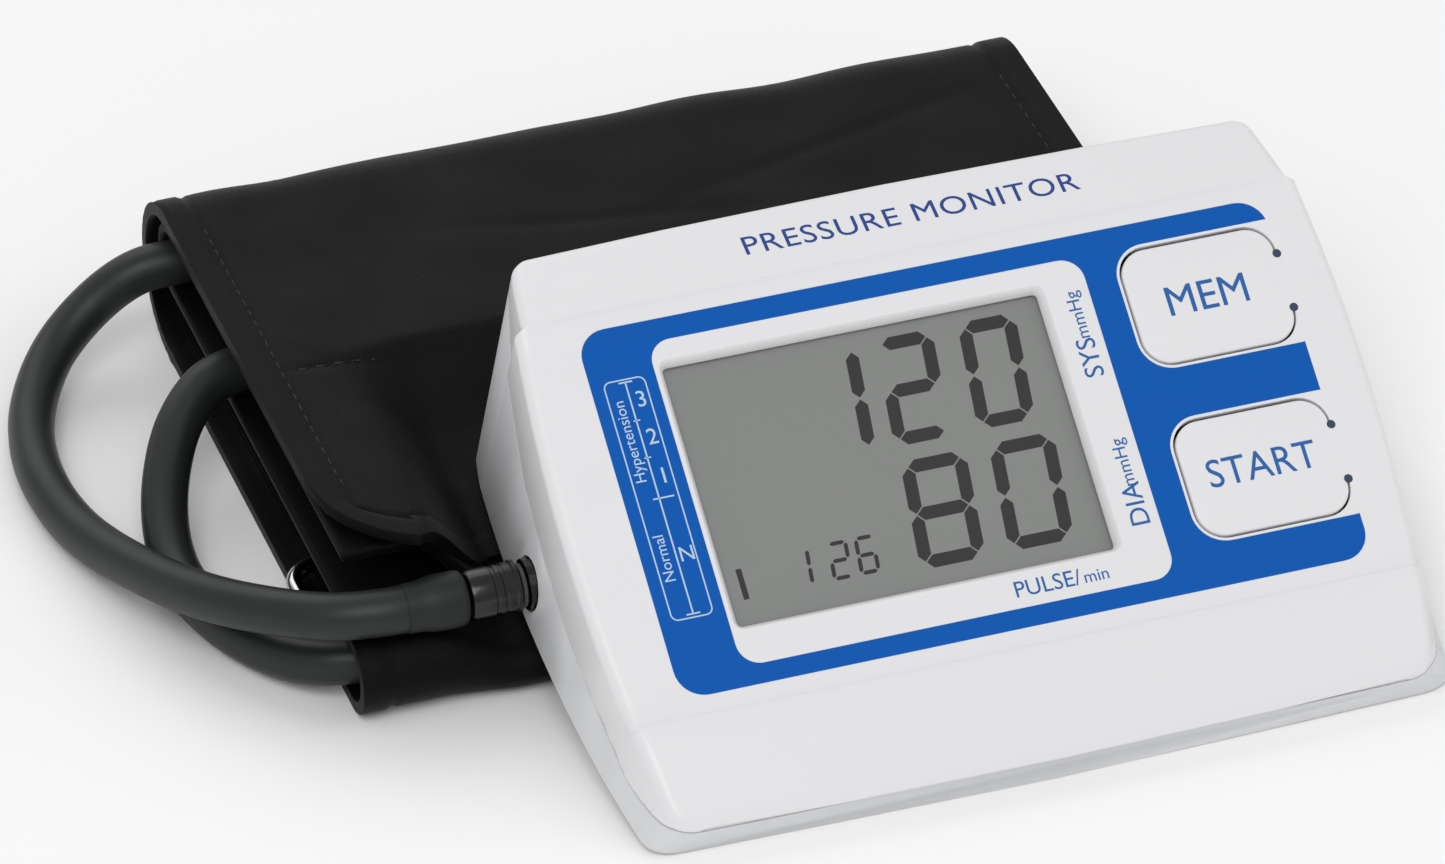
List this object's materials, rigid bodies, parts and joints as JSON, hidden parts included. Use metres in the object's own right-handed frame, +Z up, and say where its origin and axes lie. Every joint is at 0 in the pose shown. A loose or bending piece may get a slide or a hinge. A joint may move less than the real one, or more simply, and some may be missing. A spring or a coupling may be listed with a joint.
{
  "type": "upper-arm blood pressure monitor with cuff",
  "caption": "Wedge-shaped automatic blood pressure monitor with display and two press flaps, leaning on its folded black arm cuff, joined by an air hose.",
  "frame": {"origin": "centre of the footprint of the monitor and the folded cuff together, on the table they rest on; the hose and its plug are not counted", "axes": "+X to the right of the monitor as its user reads it, +Y from its front edge to its back, +Z up"},
  "size_m": [0.1991, 0.166, 0.0571],
  "materials": {
    "black_epoxy": "matt",
    "black_nylon": "woven",
    "bladder_tpu": "satin",
    "brass": "plated",
    "cell_jacket": "gloss jacket",
    "chromed_wire": "polished",
    "clear_silicone": "satin",
    "green_board": "solder mask",
    "grey_abs": "matt",
    "grey_rubber": "matt",
    "hook_tape": "hook tape",
    "hose_pvc": "satin",
    "lcd_glass": "satin, anti-glare",
    "plated_steel": "plated",
    "plug_abs": "satin",
    "pump_acetal": "matt",
    "white_abs": "satin",
    "zebra_rubber": "matt"
  },
  "bodies": {
    "monitor_and_cuff": {"air_jack": "plug_abs", "air_manifold": "pump_acetal", "air_tube": "hose_pvc", "battery_tray": "grey_abs", "bladder": "bladder_tpu", "bladder_neck": "bladder_tpu", "bladder_port": "clear_silicone", "bottom_case": "white_abs", "buzzer": "black_epoxy", "case_screw_1": "plated_steel", "case_screw_2": "plated_steel", "case_screw_3": "plated_steel", "case_screw_4": "plated_steel", "cell_1": "cell_jacket", "cell_2": "cell_jacket", "cell_3": "cell_jacket", "cell_4": "cell_jacket", "contact_plate_1": "brass", "contact_plate_2": "brass", "contact_spring_1": "plated_steel", "contact_spring_2": "plated_steel", "cuff_inner_panel": "black_nylon", "cuff_outer_panel": "black_nylon", "d_ring": "chromed_wire", "hook_patch": "hook_tape", "inner_air_tube": "clear_silicone", "lcd_cell": "lcd_glass", "lcd_holder": "grey_abs", "main_board": "green_board", "mem_switch_body": "black_epoxy", "microcontroller": "black_epoxy", "pressure_sensor": "black_epoxy", "pump_head": "pump_acetal", "pump_motor": "plated_steel", "rubber_foot_1": "grey_rubber", "rubber_foot_2": "grey_rubber", "rubber_foot_3": "grey_rubber", "rubber_foot_4": "grey_rubber", "start_switch_body": "black_epoxy", "top_case": "white_abs", "valve_body": "plated_steel", "valve_spring": "plated_steel", "zebra_strip": "zebra_rubber"},
    "mem_button": {"mem_button": "white_abs"},
    "mem_switch": {"mem_switch_stem": "grey_abs"},
    "start_button": {"start_button": "white_abs"},
    "start_switch": {"start_switch_stem": "grey_abs"},
    "battery_door": {"battery_door": "white_abs"},
    "air_plug": {"air_plug": "plug_abs", "plug_seal": "grey_rubber"},
    "pump_rotor": {"pump_rotor": "plated_steel"},
    "valve_plunger": {"valve_plunger": "plated_steel"}
  },
  "joints": [
    {"name": "mem_button_press", "type": "hinge", "parent": "monitor_and_cuff", "child": "mem_button", "pos_m": [0.07195, -0.02763, 0.04375], "axis": [0, -0.8261, -0.5635], "range_deg": [0, 1.8], "stiffness_Nm_per_rad": 1.5},
    {"name": "mem_switch_press", "type": "slide", "parent": "monitor_and_cuff", "child": "mem_switch", "axis": [0, 0.5635, -0.8261], "range_m": [0, 0.00051]},
    {"name": "start_button_press", "type": "hinge", "parent": "monitor_and_cuff", "child": "start_button", "pos_m": [0.07195, -0.05175, 0.02729], "axis": [0, -0.8261, -0.5635], "range_deg": [0, 1.8], "stiffness_Nm_per_rad": 1.5},
    {"name": "start_switch_press", "type": "slide", "parent": "monitor_and_cuff", "child": "start_switch", "axis": [0, 0.5635, -0.8261], "range_m": [0, 0.00051]},
    {"name": "battery_door_slide", "type": "slide", "parent": "monitor_and_cuff", "child": "battery_door", "axis": [0, 0.9781, 0.2079], "range_m": [0, 0.006]},
    {"name": "air_plug_pull", "type": "slide", "parent": "monitor_and_cuff", "child": "air_plug", "axis": [-1, 0, 0], "range_m": [0, 0.012], "deforming": ["air_tube"]},
    {"name": "pump_rotor_spin", "type": "hinge", "parent": "monitor_and_cuff", "child": "pump_rotor", "pos_m": [-0.01025, -0.00884, 0.04336], "axis": [1, 0, 0], "continuous": true},
    {"name": "valve_plunger_slide", "type": "slide", "parent": "monitor_and_cuff", "child": "valve_plunger", "axis": [-1, 0, 0], "range_m": [0, 0.0012], "stiffness_N_per_m": 500, "deforming": ["valve_spring"]}
  ],
  "couplings": [
    {"joint": "mem_switch_press", "follows": "mem_button_press", "m_per_rad": 0.0162},
    {"joint": "start_switch_press", "follows": "start_button_press", "m_per_rad": 0.0162}
  ]
}
